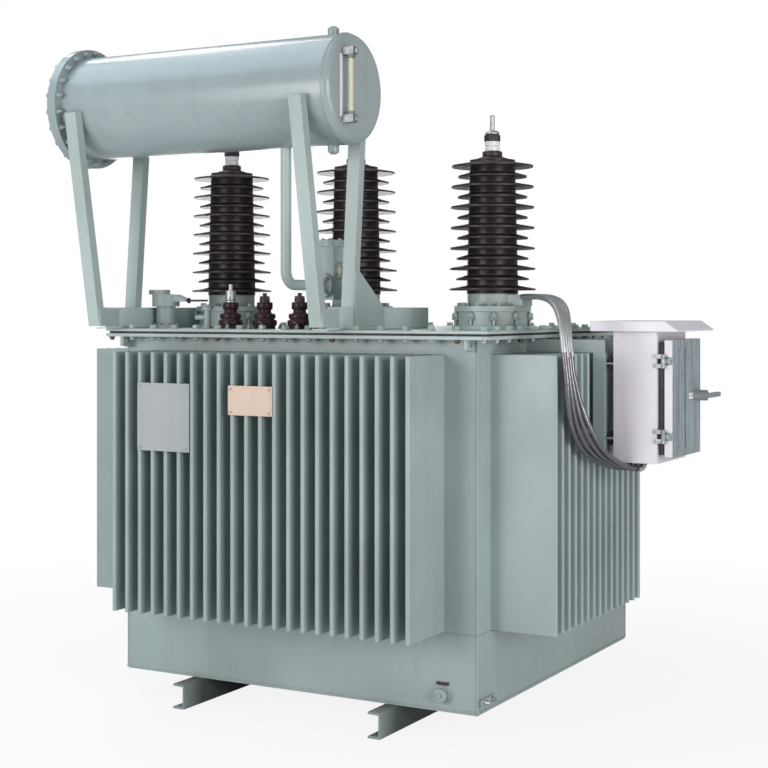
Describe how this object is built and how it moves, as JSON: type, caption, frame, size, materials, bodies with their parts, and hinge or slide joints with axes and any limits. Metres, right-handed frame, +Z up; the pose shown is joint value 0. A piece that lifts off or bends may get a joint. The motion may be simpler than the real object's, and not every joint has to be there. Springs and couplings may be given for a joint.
{
  "type": "oil-immersed power transformer",
  "caption": "Power transformer on base rails: finned tank, cover with shedded high-voltage and small low-voltage bushings, conservator on trestles, and a terminal box with a door.",
  "frame": {"origin": "middle of the four rail fixing holes, at the underside of the rails", "axes": "+X along the long front wall towards the terminal box, +Y to the back, +Z up"},
  "size_m": [2.331, 1.9938, 2.45],
  "materials": {
    "paint": "satin grey-green paint",
    "pale_paint": "satin pale blue-grey paint",
    "gasket": "matt",
    "porcelain": "very dark brown glaze",
    "brown_porcelain": "dark brown glaze",
    "zinc": "zinc plated",
    "gauge_glass": "clear tube, yellow oil",
    "case_paint": "pale lavender grey",
    "galvanised": "blue-grey, brushed",
    "conduit": "dark sheathed"
  },
  "bodies": {
    "transformer": {"base_rail_left": "paint", "base_rail_right": "paint", "tank_floor": "paint", "tank_skirt": "paint", "front_fin_wall": "paint", "back_fin_wall": "paint", "left_fin_wall": "paint", "right_fin_wall": "paint", "rim_flange": "paint", "lifting_lugs": "paint", "cover_gasket": "gasket", "tank_cover": "paint", "hv_turret_1": "paint", "hv_turret_2": "paint", "hv_turret_3": "paint", "ct_box": "paint", "hv_bushing_1": "porcelain", "hv_bushing_2": "porcelain", "hv_bushing_3": "porcelain", "hv_terminal_1": "zinc", "hv_terminal_2": "zinc", "hv_terminal_3": "zinc", "lv_bushing_1": "brown_porcelain", "lv_bushing_2": "brown_porcelain", "lv_bushing_3": "brown_porcelain", "lv_terminal_1": "zinc", "lv_terminal_2": "zinc", "lv_terminal_3": "zinc", "conservator_barrel": "pale_paint", "conservator_end_cover": "pale_paint", "conservator_head": "pale_paint", "gauge_fittings": "zinc", "gauge_glass": "gauge_glass", "conservator_plugs": "pale_paint", "trestle_base_left": "paint", "trestle_base_right": "paint", "trestle_legs_left": "paint", "trestle_legs_right": "paint", "oil_pipe": "paint", "gas_relay": "paint", "oil_riser": "paint", "relief_device": "paint", "cover_valve": "paint", "drain_valve": "paint", "earth_pad": "paint", "box_bracket": "paint", "box_case": "case_paint", "box_roof": "case_paint", "box_hinges": "zinc", "conduits": "conduit"},
    "door": {"box_door": "galvanised"},
    "handle": {"box_handle": "zinc"}
  },
  "joints": [
    {"name": "door_hinge", "type": "hinge", "parent": "transformer", "child": "door", "pos_m": [1.254, -0.309, 1.154], "axis": [0, 0, -1], "range_deg": [0, 110]},
    {"name": "handle_turn", "type": "hinge", "parent": "door", "child": "handle", "pos_m": [1.284, -0.053, 1.157], "axis": [-1, 0, 0], "range_deg": [0, 90]}
  ]
}
